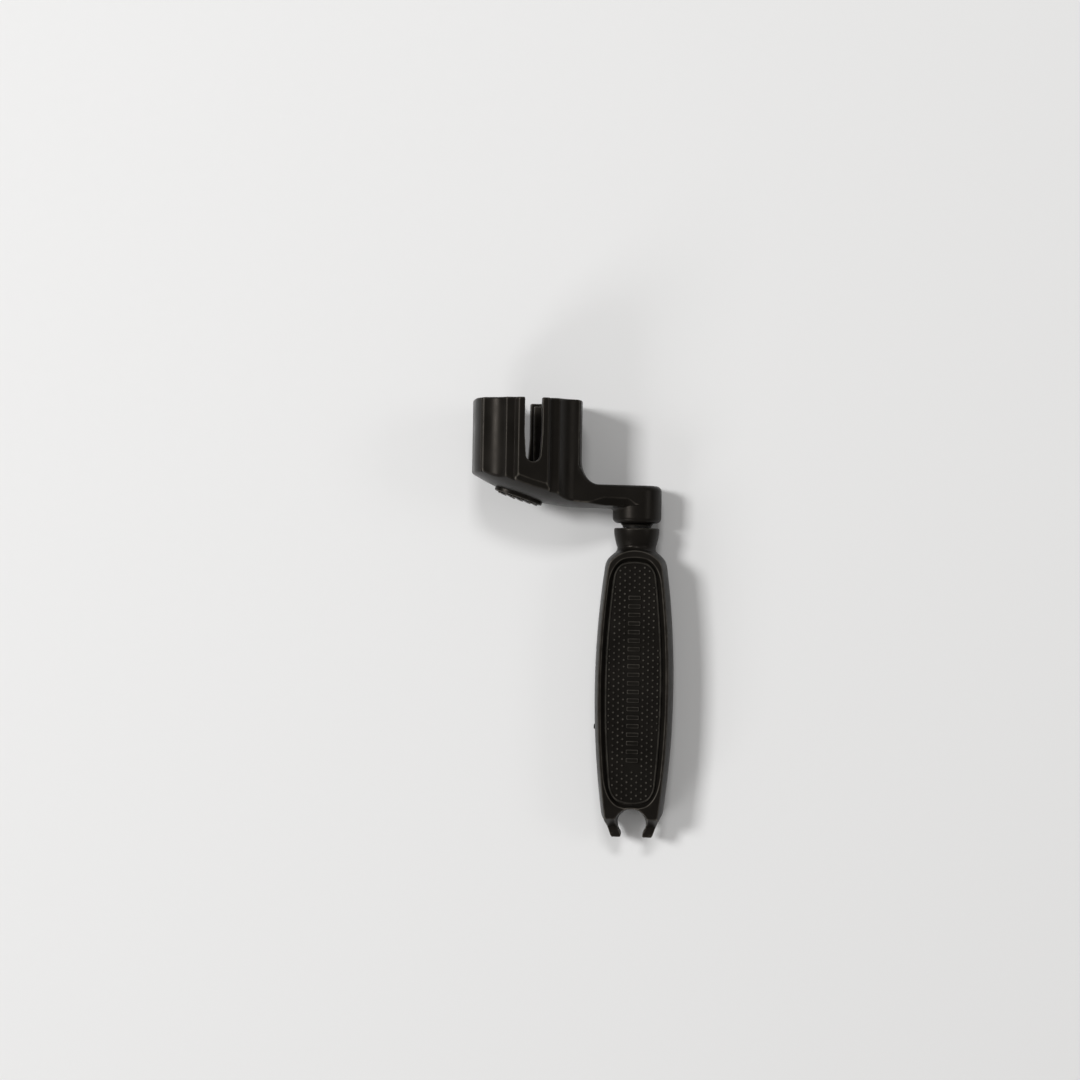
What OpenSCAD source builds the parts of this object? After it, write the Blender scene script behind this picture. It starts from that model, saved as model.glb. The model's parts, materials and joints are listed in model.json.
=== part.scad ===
// String winder: a crank that fits over a guitar's tuner key, with a bridge-pin fork on its handle.
// It lies on its back on the plane z = 0. The cup's mouth faces +Y and the handle runs towards -Y.
// In the modules below the spindle's axis is the Y axis and y = 0 is the top of the handle's collar.

/* [Overall] */
// Height of the cup's rim above the handle's collar
rim_y = 35.7; // [35:0.1:38]
// Length of the handle, from its collar to the fork's tips
handle_len = 88.2; // [87.8:0.1:92]
// Crank radius, from the spindle's axis to the cup's axis
crank_r = 32.1; // [31:0.1:35]

/* [Cup] */
// Width of the cup across its flat side faces
cup_w = 30.6; // [30:0.2:32]
// Depth of the cup across its two slotted panels
cup_depth = 27.6; // [27:0.2:28.4]
// Width of each slotted panel's flat face
panel_w = 8.2; // [7.6:0.2:9]
// Bevel along both edges of a slotted panel
panel_bevel = 0.9; // [0.5:0.1:1.1]
// Width of the cup across the steps beside the panels
step_w = 15; // [14:0.2:15.6]
// Depth of the cup across those steps
step_depth = 25; // [24.6:0.2:25.4]
// Width of the cup across its ridges
ridge_w = 27; // [26.6:0.2:27.6]
// Depth of the cup across its ridges
ridge_depth = 18; // [17.6:0.2:18.6]
// Depth of the flat side faces
side_depth = 10; // [9:0.2:11]
// How far each concave flute sinks below its chord
flute_sag = 0.9; // [0.5:0.1:1.1]
// Radius of the fine groove outside each ridge
groove_r = 0.4; // [0.3:0.1:0.5]
// Thickness of the cup's wall behind its flutes
wall = 2; // [1.6:0.1:2.4]
// Thickness of the cup's floor
floor_t = 3; // [2.4:0.2:4]

/* [Key pocket] */
// Width of the pocket for the tuner's key
pocket_w = 10.4; // [9.6:0.2:11]
// Length of the pocket
pocket_len = 22.4; // [21.6:0.2:22.8]
// Thickness of the jaw walls beside the pocket
jaw_t = 1.9; // [1.6:0.1:2.2]
// Drop from the rim to the top of the jaws, webs and ribs
jaw_drop = 1; // [0.6:0.1:2]
// Thickness of the webs that brace the jaws
web_t = 1.6; // [1.2:0.1:2]
// Gap between the ribs that centre a small key
rib_gap = 6; // [5.6:0.2:7]
// Distance between those ribs along the pocket
rib_pitch = 17.6; // [17:0.2:18.4]

/* [Slots] */
// Width of each panel's slot at the mouth
slot_w = 4.9; // [4.7:0.1:5.3]
// Width of the slot at its round end
slot_end_w = 4.1; // [3.8:0.1:4.6]
// Depth of the slot below the rim
slot_depth = 17.9; // [15:0.1:18]
// Depth at which the slot starts to narrow
slot_straight = 10; // [8:0.5:12]

/* [Underside] */
// Radius of the underside's sweep, from the cup to the arm
sweep_r = 62; // [60:0.5:64]
// Radius of the underside's crown from side to side
crown_r = 28; // [26:0.5:30]
// Distance from the cup's axis to the lowest point of the sweep
sweep_x = 17; // [16:0.5:18]
// Depth of the lowest point of the sweep below the rim
sweep_depth = 30.2; // [29.8:0.1:30.4]

/* [Crank arm and hub] */
// Height of the arm's top face above the collar
arm_top_y = 12.1; // [11.6:0.1:12.6]
// Radius of the hollow corner between the cup and the arm
arm_fillet = 7; // [5:0.1:8]
// Radius of the hub
hub_r = 6.95; // [6.6:0.05:7.05]
// Height of the hub's bottom face above the collar
hub_bottom_y = 1.4; // [1.2:0.1:1.8]
// Rounding of the hub's top edge
hub_top_round = 1.7; // [1:0.1:2]
// Rounding of the hub's bottom edge
hub_bottom_round = 1.5; // [1:0.1:2]
// Radius of the neck where it leaves the hub
neck_r = 4.7; // [4.4:0.1:5]
// Radius of the neck at its end
neck_end_r = 4.3; // [4.1:0.1:4.4]

/* [Badge] */
// Length of the oval badge under the cup
badge_len = 14; // [12:0.5:15]
// Width of the badge
badge_w = 9; // [8:0.5:10]
// Thickness of the badge
badge_t = 1.7; // [1.5:0.1:2]
// Depth of its seat in the underside
badge_seat = 0.8; // [0.7:0.1:1]
// Distance from the cup's axis to the badge's centre
badge_x = 2.2; // [1:0.2:4]

/* [Spindle] */
// Radius of the spindle
spindle_r = 2; // [1.9:0.05:2.2]
// Radial running clearance in the handle's bore
spindle_gap = 0.05; // [0.02:0.01:0.08]
// Length of spindle held in the hub
spindle_grip = 9.3; // [8:0.1:9.6]
// Length of the handle's bore
bore_len = 14.1; // [13:0.1:14.2]
// Thickness of the thrust washer
thrust_t = 0.6; // [0.5:0.05:0.6]
// End play between the washers and the handle
end_play = 0.1; // [0.05:0.01:0.15]
// Radius of the washer behind the clip
clip_washer_r = 3.9; // [3.6:0.1:4]
// Thickness of that washer
clip_washer_t = 0.5; // [0.4:0.05:0.6]
// Radius of the retaining clip
clip_r = 3.65; // [3.4:0.05:3.8]
// Thickness of the retaining clip
clip_t = 0.6; // [0.5:0.05:0.7]
// Radius of the spindle in the clip's groove
clip_groove_r = 1.6; // [1.5:0.05:1.7]

/* [Handle] */
// Width of the grip at its widest
grip_w = 22.5; // [21.5:0.1:23.5]
// Thickness of the grip
grip_t = 14.2; // [14.1:0.1:14.6]
// Radius of the grip's long side curves
grip_side_r = 260; // [240:5:280]
// Distance from the collar to the grip's widest point
grip_wide_y = 46; // [44:0.5:48]
// How far the sides lean in between the middle and the rim
grip_lean = 1.3; // [1:0.1:1.5]
// Radius of the grip's domed shoulder
dome_r = 10.5; // [10.4:0.1:11]
// Distance from the collar to the dome's centre
dome_y = 15.6; // [15.4:0.1:16]
// Radius of the collar at its top
collar_r = 6.5; // [6.2:0.1:6.8]
// Radius of the collar at its waist
waist_r = 5.2; // [5:0.1:5.4]
// Distance from the collar's top to its waist
waist_y = 6.2; // [5.8:0.1:6.4]
// Radius of the collar's gently curved side
collar_side_r = 16; // [12:1:30]

/* [Grip pads] */
// Distance from the grip's side to the pad's edge
pad_inset = 3.2; // [3:0.1:3.5]
// Distance from the grip's side to the inner edge of its rim
rim_inset = 2; // [1.9:0.1:2.2]
// Depth of the groove between the rim and the pad
rim_groove = 1.2; // [1:0.1:1.4]
// How far the pad lies below the rim
pad_drop = 0.6; // [0.4:0.05:0.8]
// Thickness of a pad
pad_t = 1.9; // [1.6:0.1:2]
// Width of the ledge that the pads sit on
ledge_w = 1.4; // [1.2:0.1:1.6]
// Distance from the collar to the top of the pad's arch
pad_top_y = 9.5; // [9.4:0.1:10]
// Radius of that arch
pad_top_r = 11.4; // [10:0.1:12]
// Distance from the collar to the bottom of the pad's lower arch
pad_bottom_y = 78.3; // [77.5:0.1:78.4]
// Radius of the lower arch
pad_bottom_r = 10.8; // [10:0.1:12]
// Thickness of the web and of the cross ribs inside the grip
core_web_t = 1.8; // [1.4:0.1:2.2]
// Number of cross ribs under the pads
core_ribs = 5; // [3:1:7]
// Distance from the collar to the first cross rib
first_rib_y = 20; // [19:0.5:22]

/* [Fork] */
// Radius of the notch for the bridge pin
notch_r = 4.1; // [3.9:0.1:4.2]
// Distance from the collar to the notch's centre
notch_y = 84.3; // [84:0.1:84.5]
// Width of the notch's mouth
mouth_w = 6.2; // [5.8:0.1:6.6]
// Thickness of the fork's prongs
prong_t = 4.4; // [4:0.1:5]
// Radius of the notch where it meets the grip's face
notch_face_r = 4.9; // [4.5:0.1:5]
// Distance from the collar to the start of the prongs' ramp
ramp_y = 82.4; // [82:0.1:82.6]
// Distance from the collar to the end of the ramp
ramp_end_y = 85.2; // [84.8:0.1:85.6]
// Width of the fork across its tips
tip_w = 11.6; // [11:0.1:12]

/* [Hidden] */
$fn = 96;
eps = 0.01;
far = 60;

// Cup outline, as one corner's points on the cup's own axes
panel_x = panel_w / 2;
step_x = step_w / 2;
step_z = step_depth / 2;
ridge_x = ridge_w / 2;
ridge_z = ridge_depth / 2;
side_x = cup_w / 2;
side_z = side_depth / 2;
panel_z = cup_depth / 2;

// Flute: the circle through the step's corner and the ridge that sinks flute_sag below their chord
flute_chord = norm([ridge_x - step_x, step_z - ridge_z]);
flute_r = (flute_chord * flute_chord / 4 + flute_sag * flute_sag) / (2 * flute_sag);
flute_reach = (flute_r - flute_sag) / flute_chord;
flute_x = (step_x + ridge_x) / 2 + (step_z - ridge_z) * flute_reach;
flute_z = (step_z + ridge_z) / 2 + (ridge_x - step_x) * flute_reach;

// Underside: a ring whose tube is the crown and whose outer edge is the sweep
ring_y = rim_y - sweep_depth + sweep_r;
barrel_h = sweep_depth + 2;
badge_turn = asin((sweep_x + badge_x) / sweep_r);

// Jaws
jaw_x = pocket_w / 2;
jaw_out = jaw_x + jaw_t;

// Rest pose: the grip lies flat, and the head is turned until the cup's back panel touches the plane
grip_z = grip_t / 2;
corner_reach = norm([crank_r - panel_x, panel_z]);
rest_turn = atan2(panel_z, crank_r - panel_x) - asin(grip_z / corner_reach);

// The origin is under the middle of the whole winder
left_x = (crank_r + side_x) * cos(rest_turn) + side_z * sin(rest_turn);
origin = [(left_x - grip_w / 2) / 2, (handle_len - rim_y) / 2, grip_z];

// Spindle stack, as heights above the collar
neck_end_y = end_play + thrust_t;
clip_washer_y = -bore_len - end_play / 2;
clip_y = clip_washer_y - clip_washer_t - end_play / 2;
spindle_end_y = clip_y - clip_t - 1.2;

// Grip
grip_x = grip_w / 2;
lean_r = (grip_z * grip_z + grip_lean * grip_lean) / (2 * grip_lean);
pad_z = grip_z - pad_drop;
ledge_z = pad_z - pad_t;
core_bottom_y = pad_bottom_y - 2 * ledge_w;
rib_step = (core_bottom_y - first_rib_y) / core_ribs;

// Places a piece that turns with the handle
module with_handle() {
    translate(origin) children();
}

// Places a piece that stays with the head
module with_head() {
    translate(origin) rotate([0, rest_turn, 0]) children();
}

// Extrudes an outline drawn in x and z down from y_top to y_low
module down(y_top, y_low) {
    translate([0, y_top, 0]) rotate([90, 0, 0]) linear_extrude(y_top - y_low) children();
}

// Turns a profile drawn as radius and height about the spindle's axis
module turned() {
    rotate([-90, 0, 0]) rotate_extrude() children();
}

// A round disc on the spindle's axis, from y_low up
module disc(r, y_low, h) {
    translate([0, y_low, 0]) rotate([-90, 0, 0]) cylinder(r = r, h = h);
}

// Copies a shape to both sides of a plane
module both(plane) {
    children();
    mirror(plane) children();
}

// ---- Head ----

module at_cup() {
    translate([-crank_r, 0, 0]) children();
}

module cup_outline() {
    corner = [
        [panel_x, panel_z],
        [panel_x + panel_bevel, panel_z - panel_bevel],
        [panel_x + panel_bevel, step_z],
        [step_x, step_z],
        [ridge_x, ridge_z],
        [side_x, side_z]
    ];
    both([0, 1]) both([1, 0]) polygon(concat([[0, 0], [0, panel_z]], corner, [[side_x, 0]]));
}

// The four flute cylinders, grown by extra
module flutes(extra) {
    for (sx = [-1, 1], sz = [-1, 1]) {
        translate([sx * flute_x, rim_y + 1, sz * flute_z]) rotate([90, 0, 0])
            cylinder(r = flute_r + extra, h = barrel_h + 2);
    }
}

// The fine grooves just outside the ridges
module ridge_grooves() {
    for (sx = [-1, 1], sz = [-1, 1]) {
        translate([sx * (ridge_x + 0.45), rim_y + 1, sz * (ridge_z - 0.75)]) rotate([90, 0, 0])
            cylinder(r = groove_r, h = barrel_h + 2);
    }
}

// The ring that shapes the underside, with its tube's radius reduced by inset
module underside_ring(inset) {
    translate([sweep_x, ring_y, 0]) rotate_extrude($fn = 180)
        translate([sweep_r - crown_r, 0]) circle(r = crown_r - inset);
}

// The cup and the arm's root, which share one swept underside
module cup_solid() {
    intersection() {
        union() {
            difference() {
                down(rim_y, rim_y - barrel_h) cup_outline();
                flutes(0);
                ridge_grooves();
            }
            down(arm_top_y, rim_y - barrel_h) arm_plan(ridge_x - 2, sweep_x);
        }
        underside_ring(0);
    }
}

// The outline of one side core between a jaw and the cup's wall
module side_core_outline() {
    both([0, 1]) polygon([
        [jaw_out, 0],
        [jaw_out, step_z - 2.7],
        [ridge_x - 1.4, ridge_z - 1.9],
        [side_x - wall, side_z - 0.8],
        [side_x - wall, 0]
    ]);
}

// Everything hollow inside the cup, before the ribs and webs are put back
module cup_hollow() {
    intersection() {
        difference() {
            down(rim_y + 1, rim_y - barrel_h) {
                square([pocket_w, pocket_len], center = true);
                both([1, 0]) side_core_outline();
            }
            flutes(wall);
        }
        underside_ring(floor_t);
    }
}

// Ribs that centre a small key, and webs that brace the jaws
module ribs_and_webs() {
    rib_w = (pocket_w - rib_gap) / 2;
    down(rim_y - jaw_drop, rim_y - barrel_h) both([1, 0]) {
        for (s = [-1, 1]) {
            translate([rib_gap / 2, s * rib_pitch / 2 - web_t / 2]) square([rib_w + 1, web_t]);
        }
        translate([jaw_out - 1, -web_t / 2]) square([side_x - jaw_out, web_t]);
    }
}

// Trims the jaws below the rim, across the whole inside of the cup
module jaw_trim() {
    down(rim_y + 1, rim_y - jaw_drop) both([1, 0]) both([0, 1])
        translate([jaw_x - eps, -eps]) square([jaw_t + 2 * eps, step_z - 2.7]);
}

module panel_slots() {
    end_y = rim_y - slot_depth + slot_end_w / 2;
    translate([0, 0, -far / 2]) linear_extrude(far) {
        polygon([
            [-slot_w / 2, rim_y + 1],
            [slot_w / 2, rim_y + 1],
            [slot_w / 2, rim_y - slot_straight],
            [slot_end_w / 2, end_y],
            [-slot_end_w / 2, end_y],
            [-slot_w / 2, rim_y - slot_straight]
        ]);
        translate([0, end_y]) circle(d = slot_end_w);
    }
}

// The arm's plan between two distances from the cup's axis, tapering from the ridges to the hub
module arm_plan(x_from, x_to) {
    slope = (ridge_z - hub_r) / (crank_r - ridge_x);
    z_from = ridge_z - (x_from - ridge_x) * slope;
    z_to = ridge_z - (x_to - ridge_x) * slope;
    polygon([[x_from, z_from], [x_to, z_to], [x_to, -z_to], [x_from, -z_from]]);
}

// The rest of the arm, with the crowned underside that carries on from the cup's
module arm() {
    intersection() {
        down(arm_top_y, rim_y - barrel_h) arm_plan(sweep_x, crank_r);
        translate([0, rim_y - sweep_depth + crown_r, 0]) rotate([0, 90, 0])
            cylinder(r = crown_r, h = far, $fn = 180);
    }
}

// The hollow corner between the arm's top and the cup's flat side face
module arm_corner() {
    translate([side_x - eps, arm_top_y - eps, -side_z]) linear_extrude(side_depth) difference() {
        square(arm_fillet);
        translate([arm_fillet, arm_fillet]) circle(r = arm_fillet);
    }
}

module hub_profile() {
    h = arm_top_y - hub_bottom_y;
    square([hub_r - hub_top_round, h]);
    translate([0, hub_bottom_round]) square([hub_r, h - hub_bottom_round - hub_top_round]);
    translate([hub_r - hub_bottom_round, hub_bottom_round]) circle(r = hub_bottom_round);
    translate([hub_r - hub_top_round, h - hub_top_round]) circle(r = hub_top_round);
    square([hub_r - hub_bottom_round, hub_bottom_round]);
}

module hub() {
    translate([0, hub_bottom_y, 0]) turned() hub_profile();
    translate([0, neck_end_y, 0]) rotate([-90, 0, 0])
        cylinder(r1 = neck_end_r, r2 = neck_r, h = hub_bottom_y - neck_end_y + eps);
}

// Places a shape on the underside: its own z points out of the surface
module at_badge() {
    at_cup() translate([sweep_x, ring_y, 0]) rotate([0, 0, -badge_turn])
        translate([0, -sweep_r, 0]) rotate([90, 0, 0]) children();
}

module badge_outline() {
    scale([1, badge_w / badge_len]) circle(d = badge_len, $fn = 64);
}

module crank_head() {
    color([0.13, 0.12, 0.11]) with_head() difference() {
        union() {
            at_cup() {
                cup_solid();
                arm();
                arm_corner();
            }
            hub();
        }
        at_cup() {
            difference() {
                cup_hollow();
                ribs_and_webs();
            }
            jaw_trim();
            panel_slots();
        }
        disc(spindle_r, neck_end_y - 1, spindle_grip + 1);
        at_badge() translate([0, 0, -badge_seat]) linear_extrude(far) badge_outline();
    }
}

module oval_badge() {
    color([0.2, 0.19, 0.18]) with_head() at_badge()
        translate([0, 0, -badge_seat]) linear_extrude(badge_t) badge_outline();
}

// ---- Spindle and what holds it ----

module spindle() {
    bevel = 0.4;
    top_y = neck_end_y + spindle_grip;
    color([0.72, 0.72, 0.74]) with_head() turned() polygon([
        [0, spindle_end_y],
        [spindle_r - bevel, spindle_end_y],
        [spindle_r, spindle_end_y + bevel],
        [spindle_r, clip_y - clip_t - eps],
        [clip_groove_r, clip_y - clip_t - eps],
        [clip_groove_r, clip_y + eps],
        [spindle_r, clip_y + eps],
        [spindle_r, top_y - bevel],
        [spindle_r - bevel, top_y],
        [0, top_y]
    ]);
}

// A flat washer on the spindle, from y_low up
module washer(r, t, y_low) {
    difference() {
        disc(r, y_low, t);
        disc(spindle_r + spindle_gap, y_low - 1, t + 2);
    }
}

module thrust_washer() {
    color([0.06, 0.06, 0.06]) with_head() washer(neck_end_r - 0.2, thrust_t, end_play);
}

module clip_washer() {
    color([0.72, 0.72, 0.74]) with_head()
        washer(clip_washer_r, clip_washer_t, clip_washer_y - clip_washer_t);
}

module retaining_clip() {
    band = 1.1;
    lug_w = 1.5;
    mouth = 3.4;
    y_low = clip_y - clip_t;
    color([0.55, 0.55, 0.58]) with_head() difference() {
        union() {
            difference() {
                disc(clip_r, y_low, clip_t);
                disc(clip_r - band, y_low - 1, clip_t + 2);
                translate([-mouth / 2, y_low - 1, 0]) cube([mouth, clip_t + 2, far]);
            }
            for (turn = [0, 110, 250]) {
                rotate([0, turn, 0]) translate([-lug_w / 2, y_low, -clip_r + band / 2])
                    cube([lug_w, clip_t, clip_r - band / 2]);
            }
        }
        disc(clip_groove_r, y_low - 1, clip_t + 2);
        translate([-clip_groove_r, y_low - 1, 0]) cube([2 * clip_groove_r, clip_t + 2, clip_r / 3]);
    }
}

// ---- Handle ----

module collar() {
    reach = norm([collar_r - waist_r, waist_y]);
    sag = collar_side_r - sqrt(collar_side_r * collar_side_r - reach * reach / 4);
    out = (collar_side_r - sag) / reach;
    centre_r = (collar_r + waist_r) / 2 - waist_y * out;
    centre_y = -waist_y / 2 + (collar_r - waist_r) * out;
    turned() intersection() {
        translate([centre_r, centre_y]) circle(r = collar_side_r, $fn = 180);
        translate([0, -dome_y]) square([collar_r, dome_y]);
    }
}

// Everything inside one long side curve of the grip, which leans in towards the rims
module side_curve() {
    translate([grip_x - grip_side_r, -grip_wide_y, 0]) rotate(180) rotate_extrude($fn = 360) {
        translate([grip_side_r - lean_r, 0]) circle(r = lean_r);
        translate([grip_side_r - lean_r - far, -lean_r]) square([far, 2 * lean_r]);
    }
}

// The grip's ends seen from the front: straight down the sides, then stepped in to the prongs
module fork_outline() {
    both([1, 0]) polygon([
        [0, 0],
        [grip_x, 0],
        [grip_x, -ramp_y + 3],
        [8.7, -ramp_y + 1.1],
        [7.4, -ramp_y - 0.7],
        [6.35, -handle_len + 1.1],
        [tip_w / 2, -handle_len],
        [0, -handle_len]
    ]);
}

// The grip's thickness seen from the side: full, then ramped down to the prongs
module ramp_outline() {
    both([0, 1]) polygon([
        [0, 0],
        [0, grip_z],
        [-ramp_y, grip_z],
        [-ramp_end_y, prong_t / 2],
        [-handle_len, prong_t / 2],
        [-handle_len, 0]
    ]);
}

module grip_solid() {
    intersection() {
        side_curve();
        mirror([1, 0, 0]) side_curve();
        translate([0, 0, -grip_z]) linear_extrude(grip_t) fork_outline();
        translate([-far / 2, 0, 0]) rotate([90, 0, 90]) linear_extrude(far) ramp_outline();
        union() {
            dome();
            translate([-far / 2, -handle_len, -far / 2]) cube([far, handle_len - dome_y, far]);
        }
    }
}

// The shoulder's round end, which leans in towards the rims as the sides do
module dome() {
    translate([0, -dome_y, 0]) rotate_extrude($fn = 180) intersection() {
        translate([dome_r - lean_r, 0]) circle(r = lean_r, $fn = 360);
        translate([0, -far / 2]) square(far);
    }
}

// The grip's front outline drawn inset from its sides, between an upper and a lower arch
module grip_outline(inset, top_y, top_r, bottom_y, bottom_r) {
    intersection() {
        side_arcs(inset);
        union() {
            translate([0, -top_y - top_r]) circle(r = top_r);
            translate([-far / 2, -handle_len]) square([far, handle_len - top_y - top_r]);
        }
        union() {
            translate([0, -bottom_y + bottom_r]) circle(r = bottom_r);
            translate([-far / 2, -bottom_y + bottom_r]) square([far, bottom_y]);
        }
    }
}

// Everything between the grip's two long side curves
module side_arcs(inset) {
    intersection() {
        translate([grip_x - grip_side_r, -grip_wide_y]) circle(r = grip_side_r - inset, $fn = 720);
        translate([grip_side_r - grip_x, -grip_wide_y]) circle(r = grip_side_r - inset, $fn = 720);
    }
}

module pad_outline(inset) {
    grow = pad_inset - inset;
    grip_outline(inset, pad_top_y - grow, pad_top_r + grow, pad_bottom_y + grow, pad_bottom_r + grow);
}

// The hollow under the pads, with a web in its middle plane and cross ribs
module grip_core() {
    difference() {
        intersection() {
            translate([0, 0, -grip_z]) linear_extrude(grip_t) pad_outline(pad_inset + ledge_w);
            translate([-far / 2, -core_bottom_y, -far / 2]) cube([far, core_bottom_y - bore_len, far]);
        }
        translate([-far / 2, -handle_len, -core_web_t / 2])
            cube([far, handle_len - first_rib_y, core_web_t]);
        for (i = [0 : core_ribs - 1]) {
            translate([-far / 2, -first_rib_y - i * rib_step - core_web_t / 2, -ledge_z])
                cube([far, core_web_t, 2 * ledge_z]);
        }
    }
}

module pad_recesses() {
    both([0, 0, 1]) {
        translate([0, 0, ledge_z]) linear_extrude(grip_z) pad_outline(pad_inset);
        translate([0, 0, grip_z - rim_groove]) linear_extrude(grip_z) pad_outline(rim_inset);
    }
}

module pin_notch() {
    translate([0, -notch_y, 0]) {
        translate([0, 0, -grip_z]) cylinder(r = notch_r, h = grip_t);
        both([0, 0, 1]) translate([0, 0, prong_t / 2])
            cylinder(r1 = notch_r, r2 = notch_face_r, h = grip_z - prong_t / 2 + eps);
        translate([-mouth_w / 2, notch_y - handle_len - 1, -grip_z])
            cube([mouth_w, handle_len - notch_y + 1, grip_t]);
    }
}

module handle_body() {
    color([0.13, 0.12, 0.11]) with_handle() difference() {
        union() {
            collar();
            grip_solid();
        }
        disc(spindle_r + spindle_gap, -bore_len - 1, bore_len + 2);
        grip_core();
        pad_recesses();
        pin_notch();
    }
}

module grip_pad() {
    color([0.1, 0.095, 0.09]) with_handle()
        translate([0, 0, ledge_z]) linear_extrude(pad_t) pad_outline(pad_inset + 0.05);
}

module grip_pad_front() {
    grip_pad();
}

module grip_pad_back() {
    translate([0, 0, grip_t]) mirror([0, 0, 1]) grip_pad();
}

crank_head();
oval_badge();
spindle();
thrust_washer();
clip_washer();
retaining_clip();
handle_body();
grip_pad_front();
grip_pad_back();
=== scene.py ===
"""Looks of the string winder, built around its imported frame.

Shapes are worked out in millimetres in the design frame: the spindle's axis is the Y axis, y = 0 is the
top of the handle's collar, and z = 0 is the middle plane. Each moulding is a distance field, a function
that is negative inside the plastic, which is turned into one closed mesh with rounded edges.
"""

import json
import math

import bpy
import numpy as np
from mathutils import Matrix, Vector


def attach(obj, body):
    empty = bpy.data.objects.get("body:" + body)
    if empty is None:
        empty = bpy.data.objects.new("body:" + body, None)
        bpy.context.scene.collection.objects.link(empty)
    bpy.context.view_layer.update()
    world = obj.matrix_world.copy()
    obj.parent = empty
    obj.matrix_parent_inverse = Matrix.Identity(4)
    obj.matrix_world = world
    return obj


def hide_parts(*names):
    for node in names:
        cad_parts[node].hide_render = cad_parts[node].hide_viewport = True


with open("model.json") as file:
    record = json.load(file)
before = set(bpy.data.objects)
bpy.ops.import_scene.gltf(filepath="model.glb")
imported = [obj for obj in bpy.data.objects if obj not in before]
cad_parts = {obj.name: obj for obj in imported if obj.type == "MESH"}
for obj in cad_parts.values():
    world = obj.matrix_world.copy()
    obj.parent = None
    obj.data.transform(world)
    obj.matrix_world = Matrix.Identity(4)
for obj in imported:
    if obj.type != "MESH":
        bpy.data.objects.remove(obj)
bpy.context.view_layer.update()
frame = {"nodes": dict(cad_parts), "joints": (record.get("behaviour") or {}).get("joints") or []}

MM = 0.001
FAR = 60.0

# ---- Sizes, in millimetres, as in the part's source ----

rim_y = 35.7
handle_len = 88.2
crank_r = 32.1

panel_x, panel_z, panel_bevel = 4.1, 13.8, 0.9
step_x, step_z = 7.5, 12.5
ridge_x, ridge_z = 13.5, 9.0
side_x, side_z = 15.3, 5.0
flute_sag, groove_r = 0.9, 0.4
wall, floor_t = 2.0, 3.0

jaw_x, jaw_t, jaw_drop = 5.2, 1.9, 1.0
pocket_z = 11.2
web_t, rib_gap, rib_pitch = 1.6, 6.0, 17.6
slot_w, slot_end_w, slot_depth, slot_straight = 4.9, 4.1, 17.9, 10.0

sweep_r, crown_r, sweep_x, sweep_depth = 62.0, 28.0, 17.0, 30.2
arm_top_y, arm_fillet, arm_bevel = 12.1, 7.0, 1.7
hub_r, hub_bottom_y, hub_top_round, hub_bottom_round = 6.95, 1.4, 1.7, 1.5
neck_r, neck_end_r, neck_end_y = 4.7, 4.3, 0.7
badge_len, badge_w, badge_t, badge_seat, badge_x = 14.0, 9.0, 1.7, 0.8, 2.2
spindle_r, spindle_gap, spindle_grip, bore_len = 2.0, 0.05, 9.3, 14.1

grip_x, grip_z = 11.25, 7.1
grip_side_r, grip_wide_y, grip_lean = 260.0, 46.0, 1.3
dome_r, dome_y = 10.5, 15.6
collar_r, waist_r, waist_y, collar_side_r = 6.5, 5.2, 6.2, 16.0
pad_inset, rim_inset, rim_groove, pad_drop, pad_t, ledge_w = 3.2, 2.0, 1.2, 0.6, 1.9, 1.4
pad_top_y, pad_top_r, pad_bottom_y, pad_bottom_r, pad_corner_r = 9.5, 11.4, 78.3, 10.8, 2.4
core_web_t, core_ribs, first_rib_y = 1.8, 5, 20.0
notch_r, notch_y, notch_face_r, mouth_w = 4.1, 84.3, 4.9, 6.2
prong_t, ramp_y, ramp_end_y, tip_w = 4.4, 82.4, 85.2, 11.6

# The corners of the fork's outline, from the grip's side down to the tip
shoulder_top, shoulder_foot = (grip_x, -79.4), (8.7, -81.3)
prong_root, tip_side = (7.4, -83.1), (6.35, 1.1 - handle_len)
tip_end = (tip_w / 2, -handle_len)

# ---- Rounded edges and small details, in millimetres ----

# Edges and corners that are rounded alike
keen_round, fine_round, small_round, edge_round, core_round, soft_round = 0.1, 0.12, 0.2, 0.25, 0.3, 0.4

# Head
step_round, ridge_round, side_round, rim_round, arm_round = 0.35, 0.22, 1.0, 0.5, 0.8
groove_out, groove_back = 0.45, 0.75
core_corner_x, core_corner_z, core_front, core_side = 1.4, 1.9, 2.7, 0.8
pocket_floor_round, hub_corner_round = 0.8, 0.9
bevel_start, bevel_end, bevel_end_gap = 7, 4, 0.6
corner_drop, overlap = 2, 0.5

# Badge
badge_gap, border_w, border_drop, plate_drop = 0.1, 0.9, 0.3, 0.75
bar_pitch, bar_half_w, bar_slant, bar_gap, bar_drop = 2.5, 0.6, 0.45, 0.7, 0.1
relief_fillet = 0.15

# Handle
collar_round, collar_fillet, shoulder_round, dome_taper = 0.45, 1.3, 0.6, 0.12
rim_across, rim_down, lip_round, rim_edge_round = 0.8, 0.6, 0.16, 0.22
shoulder_fillet, prong_fillet, ramp_fillet = 1.0, 1.2, 0.5
gate_y, gate_r, gate_half_w, recess_gap = 57, 0.75, 0.35, 0.04

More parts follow.
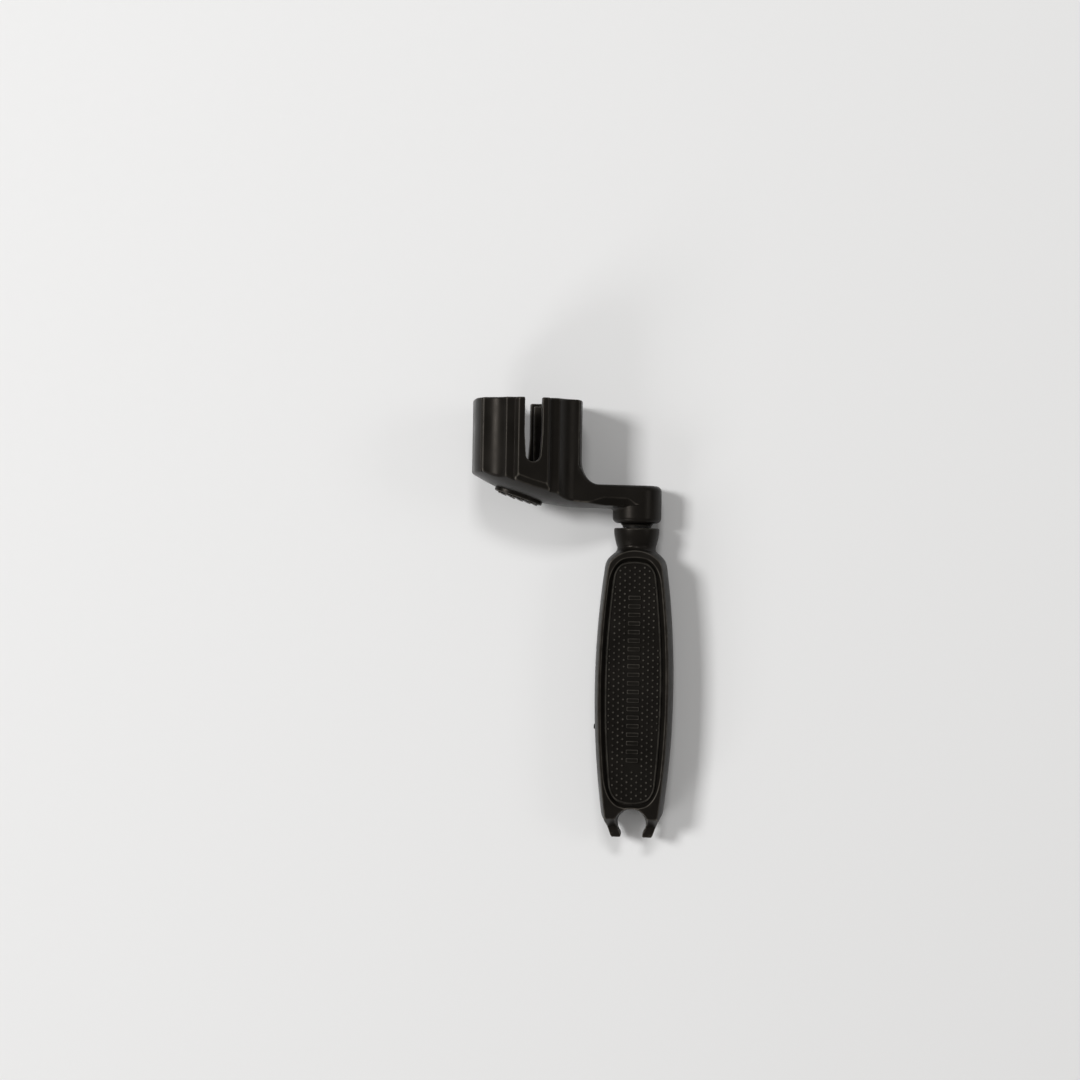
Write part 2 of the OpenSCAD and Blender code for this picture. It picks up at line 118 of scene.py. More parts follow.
# Worked out from the sizes
ring_y = rim_y - sweep_depth + sweep_r
badge_turn = math.asin((sweep_x + badge_x) / sweep_r)
jaw_out = jaw_x + jaw_t
flute_chord = math.hypot(ridge_x - step_x, step_z - ridge_z)
flute_r = (flute_chord**2 / 4 + flute_sag**2) / (2 * flute_sag)
flute_reach = (flute_r - flute_sag) / flute_chord
flute_x = (step_x + ridge_x) / 2 + (step_z - ridge_z) * flute_reach
flute_z = (step_z + ridge_z) / 2 + (ridge_x - step_x) * flute_reach
lean_r = (grip_z**2 + grip_lean**2) / (2 * grip_lean)
pad_z = grip_z - pad_drop
ledge_z = pad_z - pad_t
core_bottom_y = pad_bottom_y - 2 * ledge_w
rib_step = (core_bottom_y - first_rib_y) / core_ribs
rest_turn = math.atan2(panel_z, crank_r - panel_x) - math.asin(
    grip_z / math.hypot(crank_r - panel_x, panel_z)
)
spin_centre = Vector(frame["joints"][0]["pos_m"])

WITH_HANDLE = Matrix.Translation(spin_centre) @ Matrix.Scale(MM, 4)
WITH_HEAD = Matrix.Translation(spin_centre) @ Matrix.Rotation(rest_turn, 4, "Y") @ Matrix.Scale(MM, 4)


# ---- Field algebra ----


def meet(a, b, r=0.0):
    """What is inside both shapes, with the new outer edge rounded by r."""
    if np.isscalar(r) and r == 0:
        return np.maximum(a, b)
    return np.minimum(np.maximum(a, b), -r) + np.hypot(np.maximum(r + a, 0), np.maximum(r + b, 0))


def join(a, b, r=0.0):
    """What is inside either shape, with the new inner corner filled by radius r."""
    return -meet(-a, -b, r)


def cut(a, b, r=0.0):
    """The first shape without the second, with the new edge rounded by r."""
    return meet(a, -b, r)


def edge_line(a, b, p, q):
    """Distance outside the line from p to q, whose outer side is on the left of the way from p to q."""
    along = math.hypot(q[0] - p[0], q[1] - p[1])
    out_a, out_b = (p[1] - q[1]) / along, (q[0] - p[0]) / along
    return out_a * (a - p[0]) + out_b * (b - p[1])


def ellipse(a, b, half_a, half_b):
    """Distance outside an ellipse, right near its edge."""
    reach = np.hypot(a / half_a, b / half_b)
    slope = np.hypot(a / half_a**2, b / half_b**2)
    return reach * (reach - 1) / np.maximum(slope, 0.02)


def eased(t):
    """Rises smoothly from 0 to 1 as t does, and is held at the ends."""
    t = np.clip(t, 0, 1)
    return t * t * (3 - 2 * t)


# ---- Head: cup, arm and hub ----


def flute(ax, az, grow=0.0):
    """Depth into the round flute between the step and the ridge, made larger by grow."""
    return flute_r + grow - np.hypot(ax - flute_x, az - flute_z)


def cup_core(u, z):
    """The cup's outline without its panels, on the cup's own axes."""
    ax, az = np.abs(u), np.abs(z)
    facet = edge_line(ax, az, (ridge_x, ridge_z), (side_x, side_z))
    front = meet(az - step_z, flute(ax, az), step_round)
    outline = meet(front, meet(facet, ax - side_x, side_round), ridge_round)
    groove = np.hypot(ax - ridge_x - groove_out, az - ridge_z + groove_back) - groove_r
    return cut(outline, groove, keen_round)


def cup_panel(u, z):
    """The outline of the two slotted panels."""
    ax, az = np.abs(u), np.abs(z)
    bevel = (ax + az - panel_x - panel_z) * math.sqrt(0.5)
    return meet(meet(az - panel_z, bevel, small_round), ax - panel_x - panel_bevel, small_round)


def underside(u, y, z, inset=0.0):
    """The crowned underside: a ring under the cup, and a straight barrel under the arm."""
    ring = np.hypot(np.hypot(u - sweep_x, y - ring_y) - (sweep_r - crown_r), z)
    barrel = np.hypot(y - (rim_y - sweep_depth + crown_r), z)
    return np.where(u < sweep_x, ring, barrel) - crown_r + inset


def cup_hollow(u, y, z):
    """The key pocket and the side cores, with their ribs and webs left standing."""
    ax, az = np.abs(u), np.abs(z)
    low_y = y - (rim_y - jaw_drop)
    pocket = meet(ax - jaw_x, az - pocket_z, soft_round)
    rib = np.maximum(rib_gap / 2 - ax, np.abs(az - rib_pitch / 2) - web_t / 2)
    pocket = cut(pocket, meet(rib, low_y, edge_round), small_round)
    corner = (ridge_x - core_corner_x, ridge_z - core_corner_z)
    front = edge_line(ax, az, (jaw_out, step_z - core_front), corner)
    facet = edge_line(ax, az, corner, (side_x - wall, side_z - core_side))
    side = meet(jaw_out - ax, ax - side_x + wall, soft_round)
    for face in (front, facet, flute(ax, az, wall)):
        side = meet(side, face, core_round)
    side = cut(side, meet(az - web_t / 2, low_y, edge_round), small_round)
    hollow = meet(np.minimum(pocket, side), underside(u, y, z, floor_t), pocket_floor_round)
    trim = np.maximum(np.maximum(ax - jaw_out - keen_round, az - step_z + core_front), -low_y)
    return join(hollow, trim, small_round)


def panel_slot(u, y):
    """The slot through both panels, straight at the mouth and narrowing to its round end."""
    end_y = rim_y - slot_depth + slot_end_w / 2
    half = np.interp(y, [end_y, rim_y - slot_straight], [slot_end_w / 2, slot_w / 2])
    return np.where(y > end_y, np.abs(u) - half, np.hypot(u, y - end_y) - slot_end_w / 2)


def crank_arm(u, y, z):
    """The arm, with a hollow corner round the foot of the cup, and its two flanks on their own."""
    taper = ridge_z - (u - ridge_x) * (ridge_z - hub_r) / (crank_r - ridge_x)
    sides = np.abs(z) - taper
    along = np.clip((u - side_x) / (crank_r - side_x), 0, 1)
    top = join(cup_core(u, z), y - arm_top_y, arm_fillet)
    arm = meet(top, sides, arm_round + (hub_top_round - arm_round) * along)
    below = underside(u, y, z)
    fade = eased((u - side_x) / bevel_start) * eased((crank_r - bevel_end_gap - u) / bevel_end)
    bevel = (sides + below + arm_bevel * fade) * math.sqrt(0.5)
    arm = meet(meet(arm, below, core_round), bevel, small_round)
    ends = np.maximum(np.maximum(ridge_x - 2 - u, u - crank_r), y - arm_top_y - arm_fillet - overlap)
    return np.maximum(arm, ends), meet(sides, bevel, small_round)


def on_badge(u, y):
    """Place along the badge's length, and height above the underside there."""
    across, up = u - sweep_x, y - ring_y
    turned_up = across * math.sin(badge_turn) + up * math.cos(badge_turn)
    return across * math.cos(badge_turn) - up * math.sin(badge_turn), -turned_up - sweep_r


def head_field(x, y, z):
    """The whole head, on the handle's axes before the head's turn at rest."""
    u = x + crank_r
    below = underside(u, y, z)
    outline = join(cup_core(u, z), cup_panel(u, z), edge_round)
    cup = meet(meet(outline, y - rim_y, rim_round), below, soft_round)
    panel_foot = (np.abs(z) - panel_z + below + panel_bevel) * math.sqrt(0.5)
    cup = meet(cup, panel_foot, small_round)

    round_hub = np.hypot(x, z)
    hub = meet(meet(round_hub - hub_r, y - arm_top_y, hub_top_round), hub_bottom_y - y, hub_bottom_round)
    arm, flanks = crank_arm(u, y, z)
    corner = meet(join(below, round_hub - hub_r, hub_corner_round), flanks + keen_round, core_round)
    for face in (side_x - u, x, y - arm_top_y + corner_drop, hub_bottom_y + corner_drop - y):
        corner = np.maximum(corner, face)
    neck_slope = (neck_r - neck_end_r) / (hub_bottom_y - neck_end_y)
    neck = round_hub - neck_end_r - neck_slope * (y - neck_end_y)
    neck = np.maximum(meet(neck, neck_end_y - y, fine_round), y - hub_bottom_y - overlap)
    solid = np.minimum(np.minimum(cup, arm), np.minimum(np.minimum(hub, corner), neck))

    solid = cut(solid, cup_hollow(u, y, z), core_round)
    solid = cut(solid, panel_slot(u, y), core_round)
    bore = np.maximum(round_hub - spindle_r, y - neck_end_y - spindle_grip)
    along, height = on_badge(u, y)
    seat = ellipse(along, z, badge_len / 2 + badge_gap, badge_w / 2 + badge_gap)
    seat = np.maximum(seat, -badge_seat - height)
    return cut(solid, np.minimum(bore, seat), keen_round)


def badge_field(x, y, z):
    """An oval plate with a raised border and plain slanted bars."""
    along, height = on_badge(x + crank_r, y)
    oval = ellipse(along, z, badge_len / 2, badge_w / 2)
    top = badge_t - badge_seat
    plate = np.maximum(height - top + plate_drop, oval)
    border = meet(meet(oval, height - top + border_drop, edge_round), -border_w - oval, small_round)
    slanted = along + bar_slant * z
    bar = np.abs(slanted - bar_pitch * np.clip(np.round(slanted / bar_pitch), -2, 2)) - bar_half_w
    bar = meet(meet(bar, oval + bar_gap, small_round), height - top - bar_drop, edge_round)
    return np.maximum(join(plate, np.minimum(border, bar), relief_fillet), -badge_seat - height)


# ---- Handle: collar, grip and fork ----


def pad_edge(x, y):
    """Distance outside the pad's outline, seen from the front."""
    sides = np.hypot(np.abs(x) + grip_side_r - grip_x, y + grip_wide_y) - grip_side_r + pad_inset
    top_y, low_y = -pad_top_y - pad_top_r, -pad_bottom_y + pad_bottom_r
    top = np.where(y > top_y, np.hypot(x, y - top_y) - pad_top_r, -FAR)
    low = np.where(y < low_y, np.hypot(x, y - low_y) - pad_bottom_r, -FAR)
    return meet(meet(sides, top, pad_corner_r), low, pad_corner_r)


def collar(x, y, z):
    """The collar, whose side is a hollow arc from the flared top to the shoulder."""
    reach = math.hypot(collar_r - waist_r, waist_y)
    sag = collar_side_r - math.sqrt(collar_side_r**2 - reach**2 / 4)
    out = (collar_side_r - sag) / reach
    centre_r = (collar_r + waist_r) / 2 - waist_y * out
    centre_y = -waist_y / 2 + (collar_r - waist_r) * out
    barrel = np.hypot(np.hypot(x, z) - centre_r, y - centre_y) - collar_side_r
    return np.maximum(meet(barrel, y, collar_round), -dome_y - y)


def fork_sides(ax, d):
    """The grip's ends seen from the front, stepped in to the prongs."""
    shoulder = -edge_line(ax, -d, shoulder_foot, shoulder_top)
    step = -edge_line(ax, -d, prong_root, shoulder_foot)
    prong = -edge_line(ax, -d, tip_side, prong_root)
    tip = -edge_line(ax, -d, tip_end, tip_side)
    outline = join(join(shoulder, step, shoulder_fillet), prong, prong_fillet)
    return meet(meet(outline, tip, soft_round), d - handle_len, core_round)


def grip(x, y, z):
    """The grip: leaning sides, a domed shoulder, rims round both recesses, and ramps to the prongs."""
    ax, az, d = np.abs(x), np.abs(z), -y
    from_axis = np.hypot(ax + grip_side_r - grip_x, y + grip_wide_y) - grip_side_r + lean_r
    sides = np.hypot(from_axis, z) - lean_r
    dome = np.hypot(np.hypot(x, np.maximum(y + dome_y, 0)) - dome_r + lean_r, z) - lean_r
    dome = dome - dome_taper * np.maximum(-dome_y - y, 0)
    inward = pad_edge(x, y) - pad_inset + rim_inset
    slope = rim_down * (az - grip_z) - rim_across * inward
    face = meet(az - grip_z, join(slope, az - grip_z + rim_groove, small_round), lip_round)
    solid = meet(meet(sides, dome, shoulder_round), fork_sides(ax, d), soft_round)
    solid = meet(solid, face, rim_edge_round)
    ramp = edge_line(az, -d, (prong_t / 2, -ramp_end_y), (grip_z, -ramp_y))
    return meet(solid, join(-ramp, az - prong_t / 2, ramp_fillet), edge_round)


def pin_notch(x, y, z):
    """The round notch for a bridge pin, flared towards both faces, and its mouth."""
    d = -y
    flare = (notch_face_r - notch_r) * np.clip((np.abs(z) - prong_t / 2) / (grip_z - prong_t / 2), 0, 1)
    mouth = np.maximum(np.abs(x) - mouth_w / 2, notch_y - d)
    return join(np.hypot(x, d - notch_y) - notch_r - flare, mouth, core_round)


def grip_core(x, y, z):
    """The hollow under the pads, with a web in its middle plane and cross ribs."""
    az, d = np.abs(z), -y
    hollow = np.maximum(pad_edge(x, y) + ledge_w, np.maximum(bore_len - d, d - core_bottom_y))
    web = np.maximum(az - core_web_t / 2, first_rib_y - d)
    nearest = np.clip(np.round((d - first_rib_y) / rib_step), 0, core_ribs - 1)
    ribs = np.maximum(np.abs(d - first_rib_y - nearest * rib_step) - core_web_t / 2, az - ledge_z)
    return cut(hollow, np.minimum(web, ribs), core_round)


def handle_field(x, y, z):
    """The whole handle, with a small round gate mark on its side."""
    solid = join(collar(x, y, z), grip(x, y, z), collar_fillet)
    gate_x = grip_x - (gate_y - grip_wide_y) ** 2 / (2 * grip_side_r)
    gate = meet(np.hypot(y + gate_y, z) - gate_r, np.abs(x + gate_x) - gate_half_w, small_round)
    solid = join(solid, gate, keen_round)
    recess = np.maximum(pad_edge(x, y) - recess_gap, ledge_z - np.abs(z))
    bore = np.maximum(np.hypot(x, z) - spindle_r - spindle_gap, -y - bore_len - 1)
    hollow = np.minimum(np.minimum(recess, grip_core(x, y, z)), bore)
    return cut(cut(solid, hollow, fine_round), pin_notch(x, y, z), core_round)


# ---- Grip pads ----

dot_pitch_x, dot_pitch_y, dot_r, dot_h = 1.38, 1.87, 0.4, 0.28
dot_to_edge, dot_to_strip_x, dot_to_strip_y = 0.85, 0.4, 0.8
strip_x, strip_top_y, strip_low_y = 2.0, 19.2, 67.6
strip_pitch, strip_rib_w, strip_rib_h = 2.42, 1.2, 0.12
field_drop, pad_border_w, pad_gap, pad_corner_fill = 0.25, 0.5, 0.05, 0.08


def dots(x, y):
    """Height of the staggered dots: straight columns, with every other one lowered by half a pitch."""
    column = np.round(x / dot_pitch_x)
    lowered = 0.5 * dot_pitch_y * (np.mod(column, 2) == 1)
    centre_x = column * dot_pitch_x
    centre_y = np.round((y + lowered) / dot_pitch_y) * dot_pitch_y - lowered
    beside = np.abs(centre_x) >= strip_x + dot_to_strip_x
    above = -centre_y <= strip_top_y - dot_to_strip_y
    beyond = -centre_y >= strip_low_y + dot_to_strip_y
    kept = (pad_edge(centre_x, centre_y) < -dot_to_edge) & (beside | above | beyond)
    fall = 1 - ((x - centre_x) ** 2 + (y - centre_y) ** 2) / dot_r**2
    return dot_h * np.maximum(fall, 0) ** 0.7 * kept


def strip_ribs(x, y):
    """Distance outside the nearest plain cross rib of the strip down the pad's middle."""
    d = -y - strip_top_y - strip_rib_w / 2
    last = math.floor((strip_low_y - strip_top_y - strip_rib_w) / strip_pitch)
    nearest = np.clip(np.round(d / strip_pitch), 0, last)
    across = np.abs(x) - strip_x + edge_round
    return meet(across, np.abs(d - nearest * strip_pitch) - strip_rib_w / 2, core_round)


def pad_field(x, y, z):
    """The front pad: a rounded border round a sunk field of dots, with a ribbed strip."""
    edge = pad_edge(x, y) + pad_gap
    field_z = pad_z - field_drop
    sunk = meet(edge, z - field_z - dots(x, y))
    border = meet(meet(edge, z - pad_z, small_round), -pad_border_w - edge, keen_round)
    rib = meet(strip_ribs(x, y), z - pad_z - strip_rib_h, fine_round)
    return np.maximum(join(sunk, np.minimum(border, rib), pad_corner_fill), ledge_z - z)


# ---- Meshing ----

CORNERS = [np.array((i, j, k)) for i in (0, 1) for j in (0, 1) for k in (0, 1)]

# Steps over which a field's slope is taken, in millimetres
SETTLE_STEP, NORMAL_STEP, EDGE_STEP = 0.02, 0.04, 0.3


def crossed_cells(value):
    """The grid cells that the surface passes through, and a point on the surface in each."""
    inside = value < 0
    size = np.array(value.shape) - 1
    count = np.zeros(size, np.uint8)
    for c in CORNERS:
        count += inside[c[0] : c[0] + size[0], c[1] : c[1] + size[1], c[2] : c[2] + size[2]]
    cells = np.argwhere((count > 0) & (count < 8))
    total, hits = np.zeros(cells.shape), np.zeros(len(cells))
    for start in CORNERS:
        for axis in range(3):
            if start[axis]:
                continue
            step = np.eye(3, dtype=int)[axis]
            a = value[tuple((cells + start).T)]
            b = value[tuple((cells + start + step).T)]
            hit = (a < 0) != (b < 0)
            share = np.where(hit, a / np.where(hit, a - b, 1), 0)
            total += hit[:, None] * (start + share[:, None] * step)
            hits += hit
    return cells, cells + total / hits[:, None]


def net_faces(value, cells):
    """One face across each grid edge that the surface crosses, wound to look outwards."""
    number = np.full(np.array(value.shape) - 1, -1)
    number[tuple(cells.T)] = np.arange(len(cells))
    inside = value < 0
    faces = []
    for axis in range(3):
        near = np.take(inside, range(value.shape[axis] - 1), axis)
        after = np.take(inside, range(1, value.shape[axis]), axis)
        side_a, side_b = np.roll(np.eye(3, dtype=int), -axis - 1, 0)[:2]
        edges = np.argwhere(near != after)
        ring = [edges, edges - side_a, edges - side_a - side_b, edges - side_b]
        quads = np.stack([number[tuple(c.T)] for c in ring], 1)
        outward = near[tuple(edges.T)]
        faces.append(np.where(outward[:, None], quads, quads[:, ::-1]))
    return np.concatenate(faces)


def gradient(field, points, h):
    """The field's slope at each point, from steps of h along each axis."""
    steps = np.eye(3) * h
    return np.stack([field(*(points + s).T) - field(*(points - s).T) for s in steps], 1) / (2 * h)


def settle(field, points, cell):
    """Moves points onto the surface in a few short steps."""
    for _ in range(3):
        g = gradient(field, points, SETTLE_STEP)
        step = field(*points.T) / np.maximum((g**2).sum(1), 0.25)
        points = points - np.clip(step, -cell / 2, cell / 2)[:, None] * g
    return points


def sharpness(field, points):
    """Positive on outer edges and negative in corners, from how the field curves."""
    steps = np.eye(3) * EDGE_STEP
    around = sum(field(*(points + s).T) + field(*(points - s).T) for s in steps)
    return (around - 6 * field(*points.T)) / EDGE_STEP


def moulding(name, field, low, high, cell, place, most_faces):
    """Meshes a field in the box from low to high, in cells of a size, and places it in the frame."""
    low, high = np.array(low, float), np.array(high, float)
    axes = [np.arange(a, b + cell, cell, dtype=np.float32) for a, b in zip(low, high)]
    value = field(*np.meshgrid(*axes, indexing="ij"))
    cells, spots = crossed_cells(value)
    faces = net_faces(value, cells)
    points = settle(field, low + spots * cell, cell)

    mesh = bpy.data.meshes.new(name)
    mesh.from_pydata(points.tolist(), [], faces.tolist())
    piece = bpy.data.objects.new(name, mesh)
    bpy.context.collection.objects.link(piece)
    if 2 * len(faces) > most_faces:
        thin = piece.modifiers.new("thin", "DECIMATE")
        thin.ratio = most_faces / (2 * len(faces))
        mesh = bpy.data.meshes.new_from_object(piece.evaluated_get(bpy.context.evaluated_depsgraph_get()))
        piece.modifiers.clear()
        piece.data = mesh
        mesh.name = name
        points = np.empty(len(mesh.vertices) * 3)
        mesh.vertices.foreach_get("co", points)
        points = settle(field, points.reshape(-1, 3), cell)

    normals = gradient(field, points, NORMAL_STEP)
    normals /= np.maximum(np.linalg.norm(normals, axis=1), 1e-6)[:, None]
    turn = np.array(place.to_3x3().normalized())
    placed = points @ (turn * MM).T + np.array(place.translation)
    mesh.vertices.foreach_set("co", placed.ravel())
    mesh.update()
    mesh.shade_smooth()
    mesh.normals_split_custom_set_from_vertices(normals @ turn.T)
    edge = mesh.attributes.new("edge", "FLOAT", "POINT")
    edge.data.foreach_set("value", sharpness(field, points).astype(np.float32))
    return piece


# ---- Materials ----

# Features of the noises to the metre, and the range that most of a noise's values lie in
CLOUDS, FLOW, GRAIN = 90.0, 420.0, 5200.0
MOST = (0.3, 0.7)

# The tint of the plastics' gloss
WARM = (1.0, 0.9, 0.8, 1)


class Nodes:
    """A short way to build a node material."""

    def __init__(self, name):
        self.material = bpy.data.materials.new(name)
        self.material.use_nodes = True
        self.tree = self.material.node_tree
        self.shader = self.tree.nodes["Principled BSDF"]

    def add(self, kind, inputs=None, **settings):
        node = self.tree.nodes.new(kind)
        for key, value in settings.items():
            setattr(node, key, value)
        for key, value in (inputs or {}).items():
            self.put(node.inputs[key], value)
        return node

    def put(self, socket, value):
        if isinstance(value, bpy.types.NodeSocket):
            self.tree.links.new(value, socket)
        else:
            socket.default_value = value

    def noise(self, scale, detail=3.0, roughness=0.5):
        """Soft noise over the object, with features about 1/scale metres across."""
        place = self.add("ShaderNodeTexCoord").outputs["Object"]
        inputs = {"Vector": place, "Scale": scale, "Detail": detail, "Roughness": roughness}
        return self.add("ShaderNodeTexNoise", inputs).outputs["Fac"]

    def spread(self, value, low, high, to_low=0.0, to_high=1.0):
        """Maps a value from one range to another, held at the ends."""
        names = ("Value", "From Min", "From Max", "To Min", "To Max")
        inputs = dict(zip(names, (value, low, high, to_low, to_high)))
        return self.add("ShaderNodeMapRange", inputs).outputs["Result"]

    def maths(self, operation, a, b):
        node = self.add("ShaderNodeMath", operation=operation)
        self.put(node.inputs[0], a)
        self.put(node.inputs[1], b)
        return node.outputs["Value"]

    def blend(self, share, a, b):
        """Mixes two colours."""
        node = self.add("ShaderNodeMix", data_type="RGBA")
        sockets = {s.identifier: s for s in node.inputs}
        self.put(sockets["Factor_Float"], share)
        self.put(sockets["A_Color"], a)
        self.put(sockets["B_Color"], b)
        return next(s for s in node.outputs if s.identifier == "Result_Color")

    def bump(self, height, distance, strength=1.0, normal=None):
        inputs = {"Height": height, "Distance": distance, "Strength": strength}
        if normal is not None:
            inputs["Normal"] = normal
        return self.add("ShaderNodeBump", inputs).outputs["Normal"]


def plastic(name, dark, light, wear_and_highlight_tone, rough, sheen=0.12, grain=0.00002):
    """Satin moulded plastic: fine grain, cloudy gloss, outer edges painted lighter (a little wear, mostly
    a painted highlight), and corners painted darker as painted shade.
    """
    n = Nodes(name)
    cloud = n.noise(CLOUDS, 4.0)
    fine = n.noise(GRAIN, 2.0, 0.6)
    flow = n.noise(FLOW, 3.0)
    edge = n.add("ShaderNodeAttribute", attribute_name="edge").outputs["Fac"]
    # Outer edges painted lighter, and made glossier: a little wear and mostly a painted highlight
    edge_wear_and_highlight = n.maths("MULTIPLY", n.spread(edge, 0.45, 1.8), n.spread(flow, 0.35, 0.6, 0.45, 1.0))
    # Corners and creases painted darker, down to half the dark tone: painted shade
    painted_corner_shade = n.spread(edge, -0.3, -1.6, 0.0, 0.5)
    tone = n.blend(n.spread(cloud, *MOST), (*dark, 1), (*light, 1))
    tone = n.blend(edge_wear_and_highlight, tone, (*wear_and_highlight_tone, 1))
    tone = n.blend(painted_corner_shade, tone, (*[0.5 * c for c in dark], 1))
    n.put(n.shader.inputs["Base Color"], tone)
    n.put(n.shader.inputs["Specular IOR Level"], sheen)
    n.put(n.shader.inputs["Specular Tint"], WARM)
    cloudy = n.spread(cloud, *MOST, rough - 0.05, rough + 0.05)
    gloss = n.maths("ADD", cloudy, n.spread(flow, *MOST, -0.03, 0.03))
    n.put(n.shader.inputs["Roughness"], n.maths("SUBTRACT", gloss, n.maths("MULTIPLY", edge_wear_and_highlight, 0.08)))
    n.put(n.shader.inputs["Normal"], n.bump(fine, grain, 0.5, n.bump(flow, 0.00004, 0.25)))
    return n.material


def steel(name, tone, rough):
    """Turned steel, with fine rings round the spindle's axis."""
    n = Nodes(name)
    place = n.add("ShaderNodeTexCoord").outputs["Object"]
    squeezed = n.add("ShaderNodeMapping", {"Vector": place, "Scale": (60.0, 9000.0, 60.0)})
    inputs = {"Vector": squeezed.outputs["Vector"], "Scale": 1.0, "Detail": 2.0}
    rings = n.add("ShaderNodeTexNoise", inputs).outputs["Fac"]
    darker = [0.7 * c for c in tone]
    n.put(n.shader.inputs["Base Color"], n.blend(rings, (*darker, 1), (*tone, 1)))
    n.put(n.shader.inputs["Metallic"], 1.0)
    n.put(n.shader.inputs["Roughness"], n.spread(rings, *MOST, rough - 0.08, rough + 0.08))
    n.put(n.shader.inputs["Normal"], n.bump(rings, 0.00001, 0.4))
    return n.material


# The dark and light tones of each plastic, and the tone of its lighter edges: a little wear and mostly a
# painted highlight
BODY_TONES = (0.0056, 0.005, 0.0042), (0.0088, 0.0078, 0.0066), (0.12, 0.108, 0.092)
PAD_TONES = (0.0036, 0.0032, 0.0027), (0.0058, 0.0052, 0.0044), (0.06, 0.055, 0.047)
WASHER_TONES = (0.008, 0.008, 0.008), (0.013, 0.013, 0.013), (0.02, 0.02, 0.02)

body_plastic = plastic("body plastic", *BODY_TONES, rough=0.34)
badge_plastic = plastic("badge plastic", *BODY_TONES, rough=0.32)
pad_rubber = plastic("pad rubber", *PAD_TONES, rough=0.46, sheen=0.1, grain=0.00003)
washer_plastic = plastic("washer plastic", *WASHER_TONES, rough=0.5)
pin_steel = steel("pin steel", (0.56, 0.56, 0.57), 0.3)
clip_steel = steel("clip steel", (0.33, 0.33, 0.35), 0.36)


# ---- Pieces ----


def dress(piece, body, material, replaced):
    """Gives a piece its material and body, and hides the node that it stands for."""
    piece.data.materials.clear()
    piece.data.materials.append(material)
    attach(piece, body)
    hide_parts(replaced)


# The size of a mesh's cells, in millimetres, and its most triangles
BODY_CELL, BADGE_CELL, PAD_CELL = 0.27, 0.12, 0.16
HEAD_FACES, BADGE_FACES, HANDLE_FACES, PAD_FACES = 198000, 60000, 180000, 150000

low, high = (-48.5, -0.5, -14.8), (8.0, 36.8, 14.8)
head = moulding("head_moulding", head_field, low, high, BODY_CELL, WITH_HEAD, HEAD_FACES)
dress(head, "crank", body_plastic, "crank_head")

low, high = (-42.0, 5.0, -5.3), (-26.5, 12.6, 5.3)
badge = moulding("badge_relief", badge_field, low, high, BADGE_CELL, WITH_HEAD, BADGE_FACES)
dress(badge, "crank", badge_plastic, "oval_badge")

low, high = (-12.2, -89.0, -7.8), (12.2, 0.8, 7.8)
handle = moulding("handle_moulding", handle_field, low, high, BODY_CELL, WITH_HANDLE, HANDLE_FACES)
dress(handle, "handle", body_plastic, "handle_body")

low, high = (-8.8, -79.0, ledge_z - 0.4), (8.8, -9.4, grip_z + 0.3)
FLIPPED = WITH_HANDLE @ Matrix.Rotation(math.pi, 4, "Y")
for name, place in (("front", WITH_HANDLE), ("back", FLIPPED)):
    pad = moulding(f"pad_{name}", pad_field, low, high, PAD_CELL, place, PAD_FACES)
    dress(pad, "handle", pad_rubber, f"grip_pad_{name}")

CAD_MATERIALS = {
    "spindle": pin_steel,
    "thrust_washer": washer_plastic,
    "clip_washer": pin_steel,
    "retaining_clip": clip_steel,
}
for node, material in CAD_MATERIALS.items():
    for slot in frame["nodes"][node].material_slots:
        slot.material = material


# ---- Camera, floor and light ----

eye = Vector((40.1, 20.7, 540.2)) * MM
aim = Vector((-9.5, 22.4, 10.0)) * MM
camera_roll = math.radians(1.0)
lens_mm, sensor_mm = 62.0, 36.0


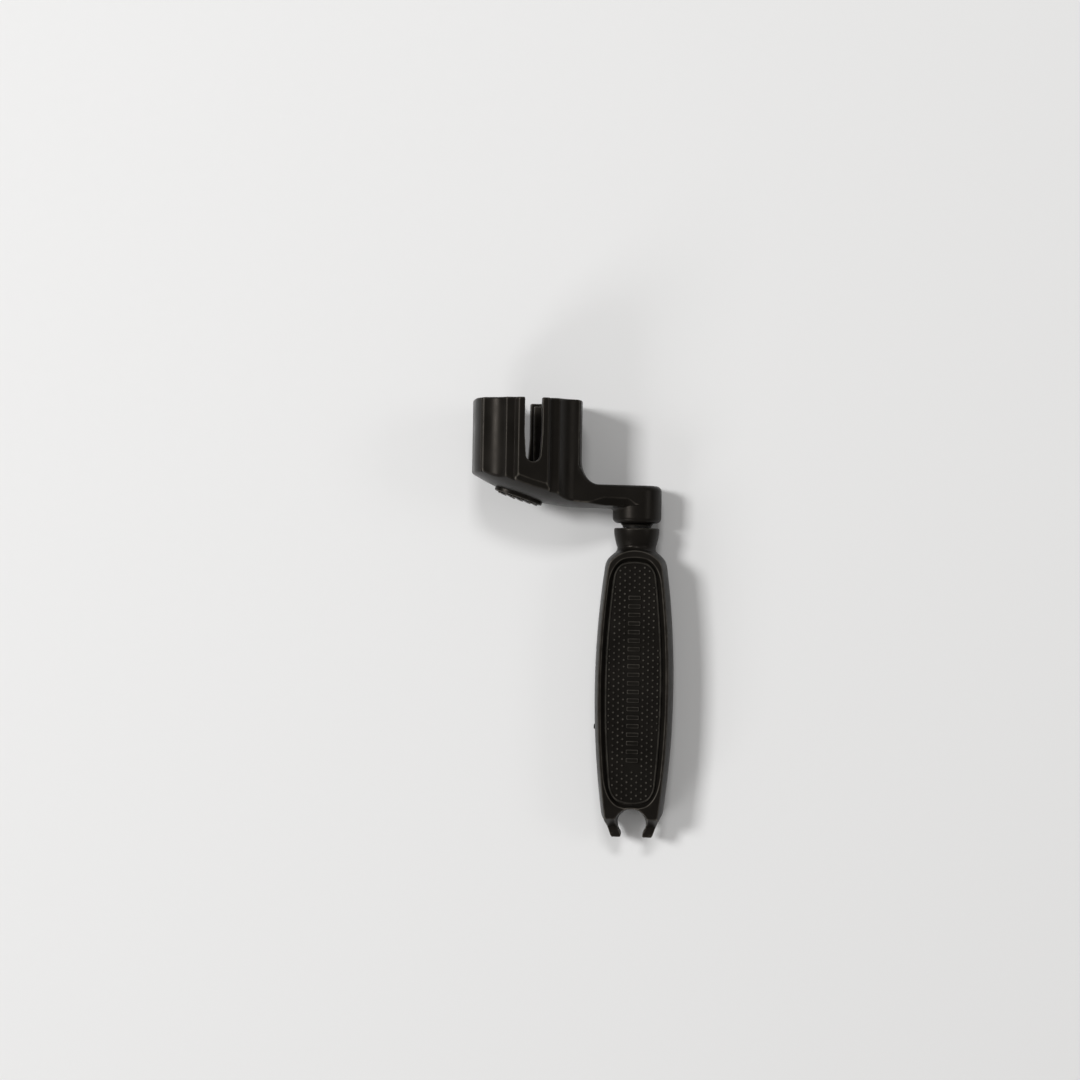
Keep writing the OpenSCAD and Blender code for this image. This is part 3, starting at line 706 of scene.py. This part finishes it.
def facing(place, target, up_hint, roll=0.0):
    """A matrix at place whose -Z looks at target, turned by roll from the hint."""
    forward = (target - place).normalized()
    right = forward.cross(up_hint).normalized()
    up = right.cross(forward)
    up, right = up * math.cos(roll) - right * math.sin(roll), right * math.cos(roll) + up * math.sin(roll)
    axes = Matrix((right, up, -forward)).transposed()
    return Matrix.Translation(place) @ axes.to_4x4()


camera_data = bpy.data.cameras.new("camera")
camera_data.lens, camera_data.sensor_width = lens_mm, sensor_mm
camera_data.clip_start, camera_data.clip_end = 0.01, 20.0
camera = bpy.data.objects.new("camera", camera_data)
camera.matrix_world = facing(eye, aim, Vector((0, 1, 0)), camera_roll)
bpy.context.collection.objects.link(camera)
bpy.context.scene.camera = camera


def floor():
    """A plain pale floor, six metres across, in the plane that the tool lies on."""
    half = 3.0
    corners = [(-half, -half, 0), (half, -half, 0), (half, half, 0), (-half, half, 0)]
    mesh = bpy.data.meshes.new("floor")
    mesh.from_pydata(corners, [], [(0, 1, 2, 3)])
    plane = bpy.data.objects.new("floor", mesh)
    bpy.context.collection.objects.link(plane)
    n = Nodes("pale floor")
    n.put(n.shader.inputs["Base Color"], (0.77, 0.77, 0.77, 1))
    n.put(n.shader.inputs["Roughness"], n.spread(n.noise(300.0), *MOST, 0.7, 0.8))
    mesh.materials.append(n.material)


def soft_light(name, place, width, height, power):
    """A soft box that looks at the object's middle."""
    data = bpy.data.lights.new(name, "AREA")
    data.shape, data.size, data.size_y, data.energy = "RECTANGLE", width, height, power
    lamp = bpy.data.objects.new(name, data)
    lamp.matrix_world = facing(Vector(place), Vector((0, 0.01, 0.01)), Vector((0, 1, 0.01)))
    bpy.context.collection.objects.link(lamp)


floor()
soft_light("key", (-1.35, 0.45, 1.75), 0.5, 0.5, 30.0)
soft_light("top", (0.1, 1.3, 1.9), 0.6, 0.35, 14.0)
soft_light("low", (-1.3, -1.5, 1.1), 0.9, 0.6, 12.0)
soft_light("right", (1.9, 0.3, 1.3), 0.6, 0.9, 4.5)

world = bpy.data.worlds.new("studio")
world.use_nodes = True
background = world.node_tree.nodes["Background"]
background.inputs["Color"].default_value = (1.0, 0.975, 0.94, 1)
background.inputs["Strength"].default_value = 0.2
bpy.context.scene.world = world
bpy.context.scene.view_settings.view_transform = "Standard"
